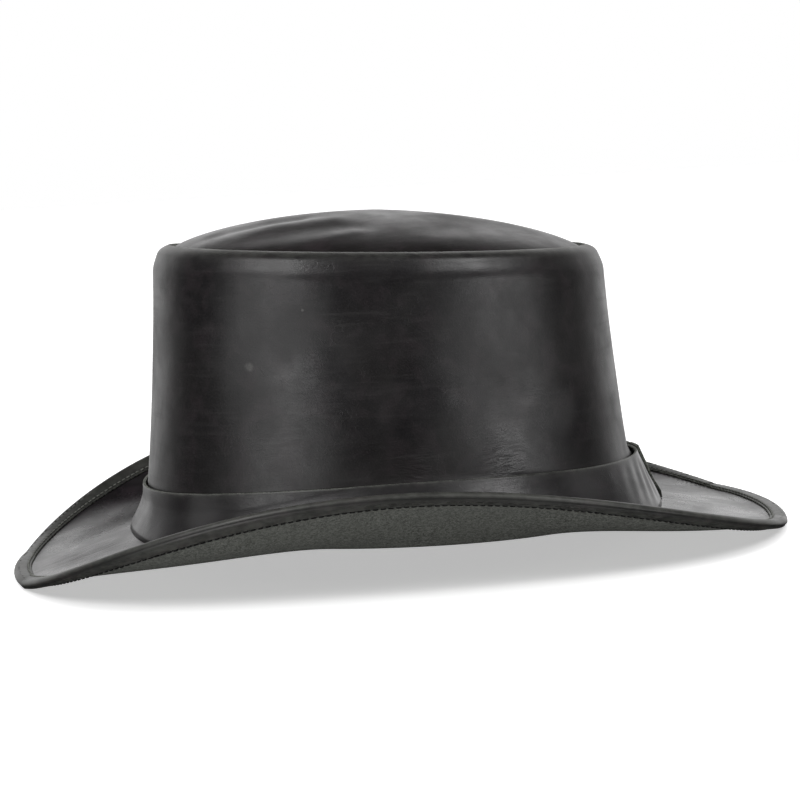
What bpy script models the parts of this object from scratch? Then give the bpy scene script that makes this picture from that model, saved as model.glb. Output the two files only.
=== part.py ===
"""Leather top hat: crown wall, domed crown tip, brim, brim binding and hat band.

Metres, +Z up. The hat's front points to -Y and the wearer's left to +X. Z = 0 is the surface
that the hat rests on, touched by the front and the back of its curled brim.

Every surface is a function of an angle round the hat (0 at the back, a quarter turn at the
wearer's left, a half turn at the front) and of a share across or up the leather.
"""

import math

import bmesh
import bpy
import numpy as np

# Head opening in the brim, seen from above
OPENING_LENGTH = 0.2160
OPENING_WIDTH = 0.1760
OPENING_CENTRE_Y = 0.0002
OVAL_FULLNESS = 0.020

# Brim leather, without its binding
BRIM_LENGTH = 0.3453
BRIM_WIDTH = 0.2634
BRIM_THICKNESS = 0.0018
BRIM_END_FULLNESS = 0.083
SEAT_HEIGHT = 0.0158
SEAT_LEAN = 0.0034
SEAT_SIDE_LIFT = -0.0011
QUARTER_BELLY = 0.0055
FRONT_BELLY = 0.0016
SIDE_BELLY = -0.0011

# Height of the brim's edge: its ends, the rise of its sides and the lift of its front quarters
EDGE_TIP_HEIGHT = -0.0004
EDGE_SIDE_RISE = 0.0420
EDGE_FRONT_LIFT = 0.0056

# Binding: a strip folded round the brim's edge
BINDING_WALL = 0.0009
BINDING_WIDTH = 0.0060
BINDING_ROLL = 0.0006

# Crown wall
CROWN_LENGTH = 0.2225
CROWN_WIDTH = 0.1820
CROWN_CENTRE_Y = -0.0043
CROWN_WALL = 0.0020
CROWN_TAPER = 0.0112
CROWN_RAKE = 0.0008
TAPER_EASE = 1.45
RIM_HEIGHT = 0.1345
RIM_LEAN = 0.0055
RIM_SIDE_LIFT = -0.0010
FOOT_REACH = 0.0133
FOOT_BACK_PULL = 0.0050
FOOT_PULL_POWER = 4
FLARE_HEIGHT = 0.0198
FLARE_BACK_LIFT = 0.0060
FLARE_EASE = 1.25
FLARE_BACK_EASE = 0.25
SHOULDER_HEIGHT = 0.0118
SHOULDER_TURN = 0.0075
SHOULDER_FULLNESS = 0.97

# Crown tip: a domed top whose margin is turned down inside the shoulder
TIP_THICKNESS = 0.0018
TIP_RISE = 0.0158
TIP_EASE = 0.75
TIP_FOLD = 0.0022

# Hat band: one strip whose end laps over its start at the back, standing a little off the wall
BAND_THICKNESS = 0.0014
BAND_EASE = 0.0003
BAND_TOP_HEIGHT = 0.0358
BAND_BACK_DROP = 0.0040
BAND_SIDE_LIFT = 0.0042
BAND_BACK_PEAK = 0.0065
BAND_PEAK_POWER = 4
BAND_END_ANGLE = math.radians(8)
BAND_LAP_ANGLE = math.radians(30)
BAND_RAMP_ANGLE = math.radians(22)
BAND_BACK_GAPE = 0.0012
BAND_GAPE_ANGLE = math.radians(14)

CLEARANCE = 0.0003
SEGMENTS = 60
# Rows of the crown wall, counted down from its rim, that the tip's turned margin follows
MARGIN_ROWS = 4
BAND_SEGMENTS = 64

# Largest value of cos(angle) * sin(angle)^2, which sets the quarter lift to its named height
QUARTER_PEAK = 2 / (3 * math.sqrt(3))
STEP = 1e-4

# Shares at which the surfaces are sampled
BRIM_ROWS = (0.0, 0.14, 0.28, 0.44, 0.62, 0.81)
LEG_ROWS = (1.0, 0.5)
FLARE_ROWS = (0.0, 0.12, 0.26, 0.42, 0.60, 0.80)
SIDE_ROWS = (0.0, 0.22, 0.46, 0.72, 1.0)
SHOULDER_ROWS = (0.40, 0.72, 0.92, 1.0)
DOME_ROWS = (0.96, 0.88, 0.75, 0.58, 0.40, 0.20)
ROLL_TURNS = (-90, -60, -30, 0, 30, 60, 90)

# Soft dents in the crown wall: depths as shares of the wall's thickness, spans in shares
DENT_COLUMNS = ("turn", "height", "turn_span", "height_span", "depth")
WALL_DENTS = (
    (0.19, 0.55, 0.050, 0.30, 0.35),
    (0.27, 0.40, 0.040, 0.22, -0.30),
    (0.36, 0.60, 0.035, 0.35, 0.40),
    (0.62, 0.50, 0.060, 0.25, 0.30),
    (0.86, 0.45, 0.060, 0.25, 0.30),
)

# Folds of the crown tip: ends as shares of the tip's half width and half length from its
# middle, heights as shares of TIP_FOLD and widths as shares of the tip's half width
FOLD_COLUMNS = ("from_x", "from_y", "to_x", "to_y", "height", "width")
TIP_FOLDS = (
    (0.48, -0.86, 0.42, -0.26, 0.40, 0.10),
    (0.64, -0.66, 0.60, -0.18, -0.50, 0.12),
    (0.28, -0.90, 0.24, -0.42, -0.55, 0.09),
    (0.84, -0.48, 0.70, -0.20, 0.28, 0.08),
    (0.66, 0.20, 0.52, 0.66, -0.35, 0.14),
    (0.28, 0.30, 0.32, 0.84, 0.35, 0.10),
    (-0.35, 0.10, -0.50, 0.70, -0.35, 0.14),
)


def rows(columns, table):
    """Turn a table of tuples into dictionaries keyed by its column names."""
    return [dict(zip(columns, row)) for row in table]


def oval(angle, half_length, half_width, centre_y):
    """Plan position on an oval that is a little fuller than an ellipse."""
    fullness = 1 + OVAL_FULLNESS * np.sin(2 * angle) ** 2
    return half_width * np.sin(angle) * fullness, centre_y + half_length * np.cos(angle) * fullness


def normals(surface, angle, share, outward):
    """Unit normals of a surface function, on the side that outward (1 or -1) picks."""
    along = surface(angle + STEP, share) - surface(angle - STEP, share)
    across = surface(angle, share + STEP) - surface(angle, share - STEP)
    normal = np.cross(along, across) * outward
    return normal / np.linalg.norm(normal, axis=-1, keepdims=True)


def opening(angle):
    return oval(angle, OPENING_LENGTH / 2, OPENING_WIDTH / 2, OPENING_CENTRE_Y)


def brim_edge(angle):
    """Middle of the brim leather's edge: an oval with raised sides."""
    side = np.sin(angle) ** 2
    x = BRIM_WIDTH / 2 * np.sin(angle) * (1 + BRIM_END_FULLNESS * (1 + np.cos(2 * angle)))
    y = BRIM_LENGTH / 2 * np.cos(angle)
    z = (EDGE_TIP_HEIGHT + EDGE_SIDE_RISE * side
         - EDGE_FRONT_LIFT * np.cos(angle) * side / QUARTER_PEAK)
    return x, y, z


def rest_height():
    """Lowest level of the brim's middle, where its binding lies flat on the surface."""
    return BRIM_THICKNESS / 2 + CLEARANCE + BINDING_WALL


def brim(angle, share):
    """Middle of the brim leather, share 0 at the head opening and 1 at the edge."""
    inner_x, inner_y = opening(angle)
    edge_x, edge_y, edge_z = brim_edge(angle)
    side = np.sin(angle) ** 2
    seat_z = SEAT_HEIGHT - SEAT_LEAN * np.cos(angle) + SEAT_SIDE_LIFT * side
    quarter = np.sin(2 * angle) ** 2
    front = np.cos(angle) * side / QUARTER_PEAK
    across = np.clip(share, 0, 1)
    swell = 4 * across * (1 - across)
    belly = (QUARTER_BELLY * quarter - FRONT_BELLY * front + SIDE_BELLY * side) * swell
    x = inner_x + (edge_x - inner_x) * share
    y = inner_y + (edge_y - inner_y) * share
    z = np.maximum(seat_z + (edge_z - seat_z) * share - belly, rest_height())
    return np.stack(np.broadcast_arrays(x, y, z), axis=-1)


def brim_face(angle, share, distance):
    """Point above (or, if negative, below) the brim's middle by a distance."""
    return brim(angle, share) + np.expand_dims(distance, -1) * normals(brim, angle, share, 1)


def brim_top_height(angle, x, y):
    """Height of the brim's upper face at a plan position near the crown."""
    inner_x, inner_y = opening(angle)
    edge_x, edge_y, _ = brim_edge(angle)
    run_x, run_y = edge_x - inner_x, edge_y - inner_y
    share = ((x - inner_x) * run_x + (y - inner_y) * run_y) / (run_x ** 2 + run_y ** 2)
    upright = normals(brim, angle, share, 1)[..., 2]
    return brim(angle, share)[..., 2] + BRIM_THICKNESS / 2 / upright


def brim_width(angle):
    """Width of the brim leather along the surface."""
    path = brim(angle[:, None], np.linspace(0, 1, 25)[None, :])
    return np.linalg.norm(np.diff(path, axis=1), axis=-1).sum(axis=1)


def rim_height(angle):
    side = np.sin(angle) ** 2
    return RIM_HEIGHT - RIM_LEAN * np.cos(angle) + RIM_SIDE_LIFT * side


def dent_depth(angle, share):
    """Depth of the crown wall's soft dents, fading out at its foot and its shoulder."""
    depth = 0
    for dent in rows(DENT_COLUMNS, WALL_DENTS):
        turn = (angle / (2 * math.pi) - dent["turn"] + 0.5) % 1 - 0.5
        spread = (turn / dent["turn_span"]) ** 2 + ((share - dent["height"]) / dent["height_span"]) ** 2
        depth = depth + dent["depth"] * np.exp(-spread)
    fade = np.clip(share, 0, 1) * np.clip(1 - share, 0, 1) * 4
    return CROWN_WALL * depth * fade


def foot_reach(angle):
    """How far the crown's foot stands out on the brim: least at the back and its quarters."""
    back = ((1 + np.cos(angle)) / 2) ** FOOT_PULL_POWER
    return FOOT_REACH - FOOT_BACK_PULL * back * (1 + np.sin(angle) ** 2)


def wall(angle, share):
    """Outer face of the crown wall, share 0 at its foot on the brim and 1 at the cut rim."""
    angle, share = np.broadcast_arrays(np.asarray(angle, float), np.asarray(share, float))
    foot = brim(angle, foot_reach(angle) / brim_width(angle.ravel()).reshape(angle.shape))
    foot_z = brim_top_height(angle, foot[..., 0], foot[..., 1]) + CLEARANCE
    rim_z = rim_height(angle)
    z = foot_z + (rim_z - foot_z) * share

    inside = np.clip(share, 0, 1)
    inset = CROWN_TAPER * (1 - (1 - inside) ** TAPER_EASE) + dent_depth(angle, share)
    below_rim = np.clip(1 - (rim_z - z) / SHOULDER_HEIGHT, 0, 1)
    arc = 1 - np.sqrt(1 - (SHOULDER_FULLNESS * below_rim) ** 2)
    inset = inset + SHOULDER_TURN * arc / (1 - math.sqrt(1 - SHOULDER_FULLNESS ** 2))
    centre_y = CROWN_CENTRE_Y + CROWN_RAKE * inside
    x, y = oval(angle, CROWN_LENGTH / 2 - inset, CROWN_WIDTH / 2 - inset, centre_y)

    base_x, base_y = oval(angle, CROWN_LENGTH / 2, CROWN_WIDTH / 2, CROWN_CENTRE_Y)
    flare_height = FLARE_HEIGHT + FLARE_BACK_LIFT * np.cos(angle)
    ease = FLARE_EASE - FLARE_BACK_EASE * np.cos(angle)
    flare = np.clip(1 - (z - foot_z) / flare_height, 0, None) ** ease
    return np.stack((x + flare * (foot[..., 0] - base_x), y + flare * (foot[..., 1] - base_y), z), axis=-1)


def wall_face(angle, share, distance):
    """Point outside (or, if negative, inside) the crown wall's outer face by a distance."""
    return wall(angle, share) + np.expand_dims(distance, -1) * normals(wall, angle, share, -1)


def seated(angle, ring):
    """The same ring set down on the brim's upper face with the usual clearance."""
    ring = ring.copy()
    ring[:, 2] = brim_top_height(angle, ring[:, 0], ring[:, 1]) + CLEARANCE
    return ring


def wall_shares():
    """Heights at which the crown wall is sampled, as shares of its own height."""
    height = RIM_HEIGHT - SEAT_HEIGHT
    flare = (FLARE_HEIGHT + FLARE_BACK_LIFT) / height
    shoulder = 1 - SHOULDER_HEIGHT / height
    shares = [row * flare for row in FLARE_ROWS]
    shares += [flare + row * (shoulder - flare) for row in SIDE_ROWS]
    shares += [shoulder + row * (1 - shoulder) for row in SHOULDER_ROWS]
    return shares


def fold_height(x, y, half_width, half_length):
    """Height of the tip's folds at a plan position measured from the tip's middle."""
    height = 0
    for fold in rows(FOLD_COLUMNS, TIP_FOLDS):
        start = np.array((fold["from_x"] * half_width, fold["from_y"] * half_length))
        run = np.array((fold["to_x"] * half_width, fold["to_y"] * half_length)) - start
        along = ((x - start[0]) * run[0] + (y - start[1]) * run[1]) / (run @ run)
        near = np.clip(along, 0, 1)
        away = np.hypot(x - start[0] - near * run[0], y - start[1] - near * run[1])
        width = fold["width"] * half_width
        height = height + fold["height"] * np.exp(-(away / width) ** 2)
    return TIP_FOLD * height


def tip_rings(angle, skin):
    """Rings of the tip's upper face (skin 0) or its lower face (skin 1), margin to middle."""
    depth = CROWN_WALL + CLEARANCE + skin * TIP_THICKNESS
    margin = [wall_face(angle, share, -depth) for share in wall_shares()[-MARGIN_ROWS:]]
    rim = margin[-1]
    centre_y = CROWN_CENTRE_Y + CROWN_RAKE
    half_length = (rim[:, 1].max() - rim[:, 1].min()) / 2
    half_width = (rim[:, 0].max() - rim[:, 0].min()) / 2
    rings = list(margin)
    for row in DOME_ROWS + (0.0,):
        x = rim[:, 0] * row
        y = centre_y + (rim[:, 1] - centre_y) * row
        level = RIM_HEIGHT + (rim[:, 2] - RIM_HEIGHT) * row - depth * (1 - row ** 2)
        bulge = (TIP_RISE + CROWN_WALL) * (1 - row ** 2) ** TIP_EASE
        folds = fold_height(x, y - centre_y, half_width, half_length) * (1 - row ** 4)
        rings.append(np.stack((x, y, level + bulge + folds), axis=-1))
    rings[-1] = rings[-1].mean(axis=0, keepdims=True)
    return rings


def band_top_height(angle):
    side = np.sin(angle) ** 2
    peak = ((1 + np.cos(angle)) / 2) ** BAND_PEAK_POWER
    return (BAND_TOP_HEIGHT - BAND_BACK_DROP * np.cos(angle) + BAND_SIDE_LIFT * (2 * side - 1)
            + BAND_BACK_PEAK * peak)


def band_offset(turn):
    """Distance of the band's inner face from the crown wall, along the strip from its start."""
    lap_start = 2 * math.pi + BAND_END_ANGLE - BAND_LAP_ANGLE
    ramp = np.clip((turn - (lap_start - BAND_RAMP_ANGLE)) / BAND_RAMP_ANGLE, 0, 1)
    lap = (BAND_THICKNESS + CLEARANCE) * ramp * ramp * (3 - 2 * ramp)
    gape = BAND_BACK_GAPE * np.exp(-(turn % (2 * math.pi) / BAND_GAPE_ANGLE - 1) ** 2)
    return CLEARANCE + BAND_EASE + lap, gape


def face_list(first, second, count_first, count_second, closed):
    """Quads between two rings of the same length, or a fan where the second is a point."""
    faces = []
    length = count_first
    for index in range(length if closed else length - 1):
        following = (index + 1) % length
        if count_second == 1:
            faces.append((first + index, first + following, second))
        else:
            faces.append((first + index, first + following, second + following, second + index))
    return faces


def shell(name, outer, inner, closed=True):
    """One closed body between two skins of rings that run the same way."""
    vertices = []
    starts = []
    for ring in list(outer) + list(inner):
        starts.append(len(vertices))
        vertices.extend(map(tuple, ring))
    faces = []
    counts = [len(ring) for ring in list(outer) + list(inner)]

    def join(first, second):
        faces.extend(face_list(starts[first], starts[second], counts[first], counts[second], closed))

    split = len(outer)
    for index in range(len(counts) - 1):
        if index + 1 != split:
            join(index, index + 1)
    join(0, split)
    if counts[split - 1] > 1:
        join(split - 1, len(counts) - 1)
    if not closed:
        for end in (0, -1):
            loop = [starts[index] + (counts[index] - 1 if end else 0) for index in range(split)]
            loop += [starts[index] + (counts[index] - 1 if end else 0)
                     for index in range(len(counts) - 1, split - 1, -1)]
            faces.append(tuple(loop))
    return make_object(name, vertices, faces)


def make_object(name, vertices, faces):
    mesh = bpy.data.meshes.new(name)
    mesh.from_pydata(vertices, [], faces)
    body = bmesh.new()
    body.from_mesh(mesh)
    bmesh.ops.triangulate(body, faces=body.faces, quad_method="SHORT_EDGE")
    bmesh.ops.recalc_face_normals(body, faces=body.faces)
    body.to_mesh(mesh)
    body.free()
    mesh.shade_smooth()
    mesh.set_sharp_from_angle(angle=math.radians(40))
    item = bpy.data.objects.new(name, mesh)
    bpy.context.collection.objects.link(item)
    return item


def leather(item, colour, roughness):
    material = bpy.data.materials.new(item.name + "_leather")
    material.use_nodes = True
    surface = material.node_tree.nodes["Principled BSDF"]
    surface.inputs["Base Color"].default_value = (*colour, 1)
    surface.inputs["Roughness"].default_value = roughness
    surface.inputs["Metallic"].default_value = 0
    item.data.materials.append(material)


def leg_shares(angle):
    """Shares across the brim under the binding's two legs, from cut edge inwards."""
    width = brim_width(angle)
    return [1 - row * BINDING_WIDTH / width for row in LEG_ROWS]


def build_brim(angle):
    legs = leg_shares(angle)
    shares = [row * legs[0] for row in BRIM_ROWS] + legs + [np.ones_like(angle)]
    upper = [brim_face(angle, share, BRIM_THICKNESS / 2) for share in shares]
    lower = [brim_face(angle, share, -BRIM_THICKNESS / 2) for share in shares]
    return shell("brim", upper, lower)


def build_binding(angle):
    legs = leg_shares(angle)
    inner_half = BRIM_THICKNESS / 2 + CLEARANCE
    outer_half = inner_half + BINDING_WALL
    edge = brim(angle, np.ones_like(angle))
    up = normals(brim, angle, 1 - STEP, 1)
    along = brim(angle + STEP, 1.0) - brim(angle - STEP, 1.0)
    out = np.cross(up, along)
    out /= np.linalg.norm(out, axis=-1, keepdims=True)
    outer = [brim_face(angle, share, -outer_half) for share in legs]
    for turn in ROLL_TURNS:
        bend = math.radians(turn)
        reach = outer_half * math.cos(bend) - BINDING_ROLL
        outer.append(edge + out * reach + up * outer_half * math.sin(bend))
    outer += [brim_face(angle, share, outer_half) for share in reversed(legs)]
    inner = [brim_face(angle, share, -inner_half) for share in legs]
    for side in (-1, 1):
        inner.append(edge + out * CLEARANCE + up * side * inner_half)
    inner += [brim_face(angle, share, inner_half) for share in reversed(legs)]
    return shell("brim_binding", outer, inner)


def build_crown_wall(angle):
    outer = [wall(angle, share) for share in wall_shares()]
    inner = [wall_face(angle, share, -CROWN_WALL) for share in wall_shares()]
    inner[0] = seated(angle, inner[0])
    return shell("crown_wall", outer, inner)


def build_crown_tip(angle):
    return shell("crown_tip", tip_rings(angle, 0), tip_rings(angle, 1))


def build_band():
    start = BAND_END_ANGLE - BAND_LAP_ANGLE
    turn = np.linspace(start, 2 * math.pi + BAND_END_ANGLE, BAND_SEGMENTS + 1)
    offset, gape = band_offset(turn)
    foot = wall(turn, 0.0)[:, 2]
    top_share = (band_top_height(turn) - foot) / (rim_height(turn) - foot)
    flare = wall_shares()[:len(FLARE_ROWS)]
    skins = []
    for depth in (BAND_THICKNESS, 0):
        rings = [wall_face(turn, share, offset + depth) for share in flare]
        rings.append(wall_face(turn, top_share, offset + gape + depth))
        rings[0] = seated(turn, rings[0])
        skins.append(rings)
    return shell("hat_band", *skins, closed=False)


def clear_scene():
    for item in list(bpy.data.objects):
        bpy.data.objects.remove(item, do_unlink=True)


def main():
    clear_scene()
    angle = np.linspace(0, 2 * math.pi, SEGMENTS, endpoint=False)
    leather(build_crown_wall(angle), (0.020, 0.020, 0.019), 0.42)
    leather(build_crown_tip(angle), (0.022, 0.021, 0.021), 0.40)
    leather(build_brim(angle), (0.028, 0.027, 0.027), 0.45)
    leather(build_binding(angle), (0.018, 0.018, 0.017), 0.40)
    leather(build_band(), (0.022, 0.022, 0.021), 0.42)


main()
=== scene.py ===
import math

import bpy
import numpy as np
from mathutils import Matrix, Vector


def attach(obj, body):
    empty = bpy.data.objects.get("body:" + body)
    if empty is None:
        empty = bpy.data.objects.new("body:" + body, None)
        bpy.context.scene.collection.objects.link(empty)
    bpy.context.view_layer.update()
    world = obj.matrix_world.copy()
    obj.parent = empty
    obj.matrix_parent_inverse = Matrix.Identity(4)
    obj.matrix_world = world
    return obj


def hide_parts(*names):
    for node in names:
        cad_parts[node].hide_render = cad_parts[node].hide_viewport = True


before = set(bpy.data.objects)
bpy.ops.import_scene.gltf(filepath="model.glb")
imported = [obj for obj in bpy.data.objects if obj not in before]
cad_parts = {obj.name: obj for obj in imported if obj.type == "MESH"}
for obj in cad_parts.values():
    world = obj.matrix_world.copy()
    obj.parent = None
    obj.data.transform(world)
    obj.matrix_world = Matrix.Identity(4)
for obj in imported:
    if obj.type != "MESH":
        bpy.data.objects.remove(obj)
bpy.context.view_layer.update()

# The hat's front points to -Y and the wearer's left to +X. Every surface is a function of an
# angle round the hat, 0 at the back and a quarter turn at the wearer's left, and of a share
# across or up the leather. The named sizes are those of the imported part, in metres.

OPENING_LENGTH = 0.2160
OPENING_WIDTH = 0.1760
OPENING_CENTRE_Y = 0.0002
OVAL_FULLNESS = 0.020

BRIM_LENGTH = 0.3453
BRIM_WIDTH = 0.2634
BRIM_THICKNESS = 0.0018
BRIM_END_FULLNESS = 0.083
SEAT_HEIGHT = 0.0158
SEAT_LEAN = 0.0034
SEAT_SIDE_LIFT = -0.0011
QUARTER_BELLY = 0.0055
FRONT_BELLY = 0.0016
SIDE_BELLY = -0.0011
EDGE_TIP_HEIGHT = -0.0004
EDGE_SIDE_RISE = 0.0420
EDGE_FRONT_LIFT = 0.0056

BINDING_WALL = 0.0009
BINDING_WIDTH = 0.0060
BINDING_ROLL = 0.0006

CROWN_LENGTH = 0.2225
CROWN_WIDTH = 0.1820
CROWN_CENTRE_Y = -0.0043
CROWN_WALL = 0.0020
CROWN_TAPER = 0.0112
CROWN_RAKE = 0.0008
TAPER_EASE = 1.45
RIM_HEIGHT = 0.1345
RIM_LEAN = 0.0055
RIM_SIDE_LIFT = -0.0010
FOOT_REACH = 0.0133
FOOT_BACK_PULL = 0.0050
FOOT_PULL_POWER = 4
FLARE_HEIGHT = 0.0198
FLARE_BACK_LIFT = 0.0060
FLARE_EASE = 1.25
FLARE_BACK_EASE = 0.25
SHOULDER_HEIGHT = 0.0118
SHOULDER_TURN = 0.0075
SHOULDER_FULLNESS = 0.97

TIP_THICKNESS = 0.0018
TIP_RISE = 0.0158
TIP_EASE = 0.75
TIP_FOLD = 0.0022

BAND_THICKNESS = 0.0014
BAND_EASE = 0.0003
BAND_TOP_HEIGHT = 0.0358
BAND_BACK_DROP = 0.0040
BAND_SIDE_LIFT = 0.0042
BAND_BACK_PEAK = 0.0065
BAND_PEAK_POWER = 4
BAND_END_ANGLE = math.radians(8)
BAND_LAP_ANGLE = math.radians(30)
BAND_RAMP_ANGLE = math.radians(22)
BAND_BACK_GAPE = 0.0012
BAND_GAPE_ANGLE = math.radians(14)

CLEARANCE = 0.0003
QUARTER_PEAK = 2 / (3 * math.sqrt(3))
STEP = 1e-4

DENT_COLUMNS = ("turn", "height", "turn_span", "height_span", "depth")
WALL_DENTS = (
    (0.19, 0.55, 0.050, 0.30, 0.35),
    (0.27, 0.40, 0.040, 0.22, -0.30),
    (0.36, 0.60, 0.035, 0.35, 0.40),
    (0.62, 0.50, 0.060, 0.25, 0.30),
    (0.86, 0.45, 0.060, 0.25, 0.30),
)
FOLD_COLUMNS = ("from_x", "from_y", "to_x", "to_y", "height", "width")
TIP_FOLDS = (
    (0.48, -0.86, 0.42, -0.26, 0.40, 0.10),
    (0.64, -0.66, 0.60, -0.18, -0.50, 0.12),
    (0.28, -0.90, 0.24, -0.42, -0.55, 0.09),
    (0.84, -0.48, 0.70, -0.20, 0.28, 0.08),
    (0.66, 0.20, 0.52, 0.66, -0.35, 0.14),
    (0.28, 0.30, 0.32, 0.84, 0.35, 0.10),
    (-0.35, 0.10, -0.50, 0.70, -0.35, 0.14),
)

# Steps round the hat in each piece's mesh
WALL_COLUMNS = 540
TIP_COLUMNS = 480
BRIM_COLUMNS = 600
BINDING_COLUMNS = 1600
BAND_COLUMNS = 760

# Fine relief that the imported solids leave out
WALL_RELIEF = 0.00014
BRIM_RELIEF = 0.00012
BAND_RELIEF = 0.00010
BINDING_RELIEF = 0.00006
RIM_ROUGHNESS = 0.00022
CORNER_BULGE = 0.0007
CORNER_PLACE = 0.80
CORNER_SPAN = 0.18
EDGE_ROUND = 0.00035
FRONT_GAPE = 0.0002
FRONT_GAPE_ANGLE = math.pi * 0.98
FRONT_GAPE_SPAN = 0.5
BACK_CREASE = 0.00035
BACK_CREASE_ANGLE = 0.30
BACK_CREASE_SPAN = 0.26
BACK_CREASE_WAVES = 60
STITCH_PITCH = 0.0030
STITCH_LENGTH = 0.0021
STITCH_RADIUS = 0.00044
STITCH_SIDES = 8
STITCH_FLATNESS = 0.8
STITCH_SLANT = 0.10
STITCH_ROW = 0.83
STITCH_SPAN = 0.11
STITCH_SEAT = 0.00016
STITCH_LIFT = 0.00012
STITCH_PULL = 0.00038
STITCH_SCALLOP = 0.00045
PRESS_START = 0.70
PRESS_DEPTH = 0.00048
GROOVE_TURN = -38
GROOVE_SPAN = 13
GROOVE_DEPTH = 0.00032
BINDING_JOINT_ANGLE = math.radians(342)
BINDING_JOINT_SPAN = math.radians(0.35)
BINDING_JOINT_DEPTH = 0.0006

# The materials' numbers on a leather piece's mesh
GRAIN_SIDE, FLESH_SIDE, CUT = 0, 1, 2

# Marks on the crown and band, in degrees round the hat and height above the rest. The first two tables
# are painted highlights: lighter, rougher patches where highlights fall.
MARK_COLUMNS = ("turn", "height", "radius", "strength")
CROWN_PAINTED_HIGHLIGHTS = (
    (126, 0.106, 0.034, 0.30),
    (71, 0.088, 0.036, 0.34),
    (54, 0.063, 0.014, 0.25),
    (284, 0.085, 0.036, 0.28),
    (229, 0.070, 0.026, 0.25),
    (3, 0.080, 0.030, 0.25),
    (180, 0.090, 0.030, 0.28),
)
# Painted highlights on the band
BAND_PAINTED_HIGHLIGHTS = (
    (142, 0.031, 0.014, 0.55),
    (161, 0.030, 0.012, 0.30),
    (233, 0.032, 0.020, 0.40),
    (53, 0.030, 0.016, 0.30),
)
CROWN_WRINKLES = (
    (72, 0.044, 0.015, 0.42),
    (92, 0.046, 0.014, 0.5),
    (85, 0.074, 0.008, 0.2),
    (264, 0.045, 0.018, 0.6),
)
CROWN_SPOTS = (
    (129.5, 0.0905, 0.0026, 1.0),
    (115.5, 0.1130, 0.0008, 1.0),
    (295.5, 0.0900, 0.0015, 0.3),
)
# Creases on the brim, in degrees round the hat and share from the opening to the edge
CREASE_COLUMNS = ("turn", "across", "radius", "strength")
BRIM_CREASES = (
    (5, 0.22, 0.024, 0.8),
    (350, 0.50, 0.026, 0.6),
    (173, 0.58, 0.026, 0.6),
    (190, 0.36, 0.024, 0.5),
)

# Waxed leather: colours of its marks, and scales of its patterns in repeats to a metre
# Colour of the painted highlight patches
PAINTED_HIGHLIGHT_TONE = (0.045, 0.044, 0.044)
SPOT_TONE = (0.085, 0.085, 0.080)
SPECK_TONE = (0.10, 0.10, 0.095)
WORN_TONE = (0.085, 0.088, 0.077)
WARM_TINT = (1.6, 1.3, 1.5)
WALL_STREAK = (30, 30, 420)
WALL_RIPPLE = (90, 90, 480)
BRIM_STREAK = (260, 34, 60)
BRIM_RIPPLE = (420, 42, 120)
BINDING_STREAK = (60, 60, 60)
CLOUD_SCALE = 14
MOTTLE_SCALE = 24
SWELL_SCALE = 34
PATCH_SCALE = 52
CRACK_PATCH_SCALE = 75
TINT_SCALE = 95
SPECK_SCALE = 230
RUB_SCALE = 240
CRACK_SCALE = 330
GRIT_SCALE = 380
SPOT_SCALE = 900
PORE_SCALE = 1100
BLOT_SCALE = 45
LEATHER_SHINE = 0.5

# Light that the hat meets from the walls in front of it and behind it
DARK_WALL = 0.012
WHITE_WALL = 1.3
WALL_TURN = 0.35
WALL_TOP = 0.75
WALL_FADE = 0.35
WALL_FOOT = (-0.30, -0.04)

# Pale floor, glowing a little, just under the hat
FLOOR_HALF = 12
FLOOR_DROP = 0.0002
FLOOR_TONES = ((0.86, 0.86, 0.86), (0.90, 0.90, 0.90))
FLOOR_GLOW = 0.45

# Lamps aimed at the middle of the hat, from degrees round it and above level, and one overhead
LAMP_HEIGHT = 0.07
LAMP_DISTANCE = 1.6
LAMP_COLUMNS = ("name", "azimuth", "elevation", "width", "height", "power")
LAMPS = (
    ("low_box_front", -46, 1.5, 0.80, 0.22, 4.8),
    ("low_box_back", 44, 1.5, 0.70, 0.22, 4.0),
    ("high_box_front", -50, 40, 0.60, 0.60, 10),
    ("high_box_back", 45, 42, 0.50, 0.50, 6),
)
OVERHEAD_POWER = 2.2
OVERHEAD_ANGLE = math.radians(80)

# Camera, looking at the middle of the hat
SENSOR_WIDTH = 36
VIEW_NEAREST = 0.05
VIEW_DISTANCE = 0.850
VIEW_RISE = math.radians(7.2)
VIEW_TURN = math.radians(-9.28)
VIEW_ROLL = math.radians(-3.38)
VIEW_CENTRE = (0, 0.0022, 0.0638)
FOCAL_SHARE = 1883 / 800


def rows(columns, table):
    return [dict(zip(columns, row)) for row in table]


def place_camera():
    toward = Vector((math.cos(VIEW_RISE) * math.cos(VIEW_TURN),
                     math.cos(VIEW_RISE) * math.sin(VIEW_TURN), math.sin(VIEW_RISE)))
    right = Vector((0, 0, 1)).cross(toward).normalized()
    up = toward.cross(right)
    across = right * math.cos(VIEW_ROLL) + up * math.sin(VIEW_ROLL)
    upward = up * math.cos(VIEW_ROLL) - right * math.sin(VIEW_ROLL)
    spot = Vector(VIEW_CENTRE) + toward * VIEW_DISTANCE
    lens = bpy.data.cameras.new("camera")
    lens.sensor_width = SENSOR_WIDTH
    lens.lens = SENSOR_WIDTH * FOCAL_SHARE
    lens.clip_start = VIEW_NEAREST
    camera = bpy.data.objects.new("camera", lens)
    turn = Matrix((across, upward, toward)).transposed().to_4x4()
    camera.matrix_world = Matrix.Translation(spot) @ turn
    bpy.context.scene.collection.objects.link(camera)
    bpy.context.scene.camera = camera


# Surfaces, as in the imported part

def oval(angle, half_length, half_width, centre_y):
    fullness = 1 + OVAL_FULLNESS * np.sin(2 * angle) ** 2
    return half_width * np.sin(angle) * fullness, centre_y + half_length * np.cos(angle) * fullness


def normals(surface, angle, share, outward):
    along = surface(angle + STEP, share) - surface(angle - STEP, share)
    across = surface(angle, share + STEP) - surface(angle, share - STEP)
    normal = np.cross(along, across) * outward
    return normal / np.linalg.norm(normal, axis=-1, keepdims=True)


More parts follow.
